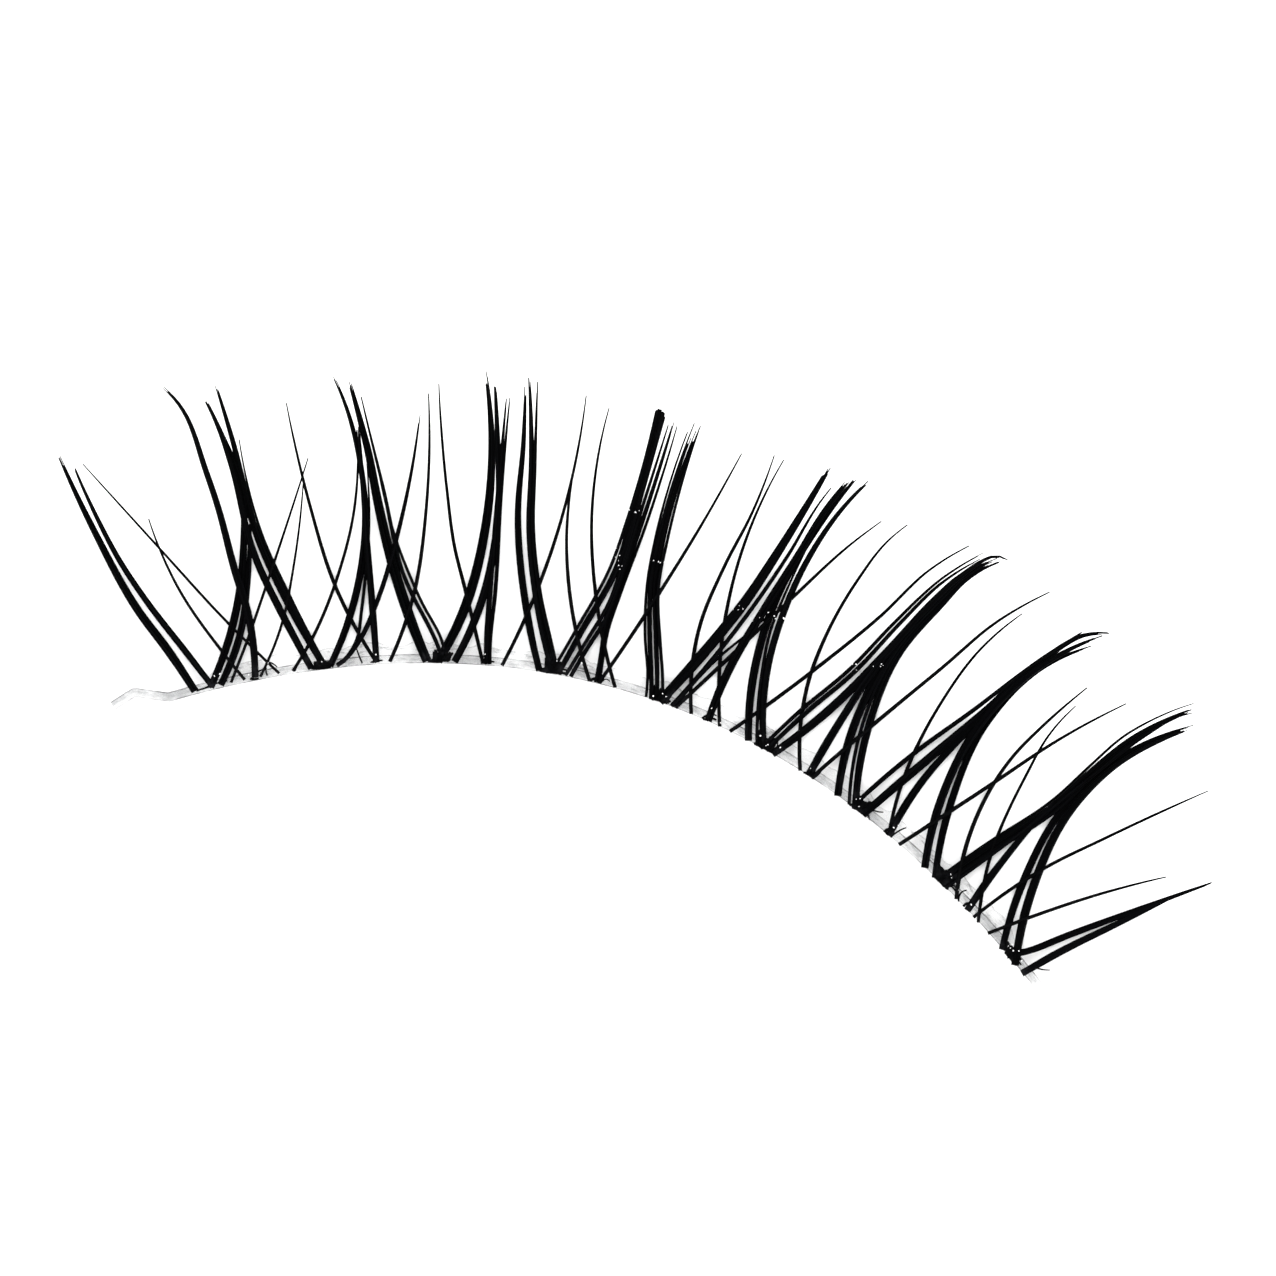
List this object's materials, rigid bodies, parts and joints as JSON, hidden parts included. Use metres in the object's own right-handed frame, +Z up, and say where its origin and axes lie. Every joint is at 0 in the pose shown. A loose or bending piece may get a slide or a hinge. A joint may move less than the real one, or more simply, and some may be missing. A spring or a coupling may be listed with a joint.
{
  "type": "false eyelash strip",
  "caption": "Strip of false eyelashes: tapered spiky locks of black fibre and single hairs that curl up from a thin clear band bent to the line of an upper eyelid.",
  "frame": {"origin": "middle of the band's flat underside, on the surface that the strip lies on", "axes": "+X along the strip from its tailed end to its other end, +Y the way the lashes point, +Z up"},
  "size_m": [0.0396, 0.0145, 0.0052],
  "materials": {
    "clear_band": "clear flexible plastic thread, slightly milky where glue holds the roots",
    "black_fibre": "black synthetic fibre with a soft sheen"
  },
  "bodies": {
    "root": {"band": "clear_band", "spike_01": "black_fibre", "spike_02": "black_fibre", "spike_03": "black_fibre", "spike_04": "black_fibre", "spike_05": "black_fibre", "spike_06": "black_fibre", "spike_07": "black_fibre", "spike_08": "black_fibre", "spike_09": "black_fibre", "spike_10": "black_fibre", "spike_11": "black_fibre", "spike_12": "black_fibre"}
  },
  "joints": []
}
